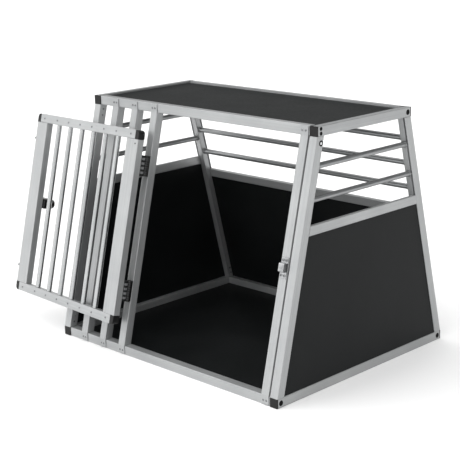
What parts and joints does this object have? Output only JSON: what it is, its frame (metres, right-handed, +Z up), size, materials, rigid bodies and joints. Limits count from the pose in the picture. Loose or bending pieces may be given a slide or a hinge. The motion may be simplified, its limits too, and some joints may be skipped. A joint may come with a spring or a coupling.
{
  "type": "car dog transport box",
  "caption": "Trapezoid dog box of aluminium profile with black boards below, open rods above and a barred side-hinged door, swung open, with a sliding latch.",
  "frame": {"origin": "centre of the footprint, on the underside of the floor board and base rails", "axes": "+Z up, -Y towards the door side, +X to the right as seen from the door side"},
  "size_m": [1.0312, 0.6835, 0.65],
  "materials": {
    "profile": "satin anodised",
    "rod": "drawn, satin",
    "board": "fine-grained black, satin",
    "end_cap": "moulded, matt black",
    "hinge": "black coated, rubbed to grey at the knuckles",
    "latch": "moulded, semi-gloss black",
    "steel": "bright"
  },
  "bodies": {
    "crate": {"base_rail_left": "profile", "top_rail_left": "profile", "base_rail_right": "profile", "top_rail_right": "profile", "base_rail_front": "profile", "top_rail_front": "profile", "base_rail_back": "profile", "top_rail_back": "profile", "end_cap_base_front_left": "end_cap", "end_cap_base_front_right": "end_cap", "end_cap_base_back_left": "end_cap", "end_cap_base_back_right": "end_cap", "end_cap_top_front_left": "end_cap", "end_cap_top_front_right": "end_cap", "end_cap_top_back_left": "end_cap", "end_cap_top_back_right": "end_cap", "leg_front_left": "profile", "leg_front_right": "profile", "leg_back_left": "profile", "leg_back_right": "profile", "front_post_1": "profile", "front_post_2": "profile", "hinge_post": "profile", "latch_post": "profile", "mid_rail_left": "profile", "mid_rail_right": "profile", "mid_rail_back": "profile", "panel_left": "board", "panel_right": "board", "panel_back": "board", "rod_left_1": "rod", "rod_left_2": "rod", "rod_right_1": "rod", "rod_right_2": "rod", "rod_back_1": "rod", "rod_back_2": "rod", "rod_back_3": "rod", "floor_board": "board", "roof_board": "board", "hinge_fixed_lower": "hinge", "hinge_fixed_upper": "hinge", "keeper": "steel"},
    "door": {"door_stile_hinge": "profile", "door_stile_free": "profile", "door_rail_bottom": "profile", "door_rail_top": "profile", "door_cap_bottom_hinge": "end_cap", "door_cap_bottom_free": "end_cap", "door_cap_top_hinge": "end_cap", "door_cap_top_free": "end_cap", "door_bar_1": "rod", "door_bar_2": "rod", "door_bar_3": "rod", "door_bar_4": "rod", "door_bar_5": "rod", "door_bar_6": "rod", "hinge_leaf_lower": "hinge", "hinge_leaf_upper": "hinge", "latch_housing": "latch"},
    "bolt": {"latch_bolt": "steel"}
  },
  "joints": [
    {"name": "door_swing", "type": "hinge", "parent": "crate", "child": "door", "pos_m": [-0.144, -0.26526, 0.33242], "axis": [0, 0.2368, 0.9715], "range_deg": [0, 185]},
    {"name": "bolt_slide", "type": "slide", "parent": "door", "child": "bolt", "axis": [-0.9962, 0.0847, -0.0206], "range_m": [0, 0.024]}
  ]
}
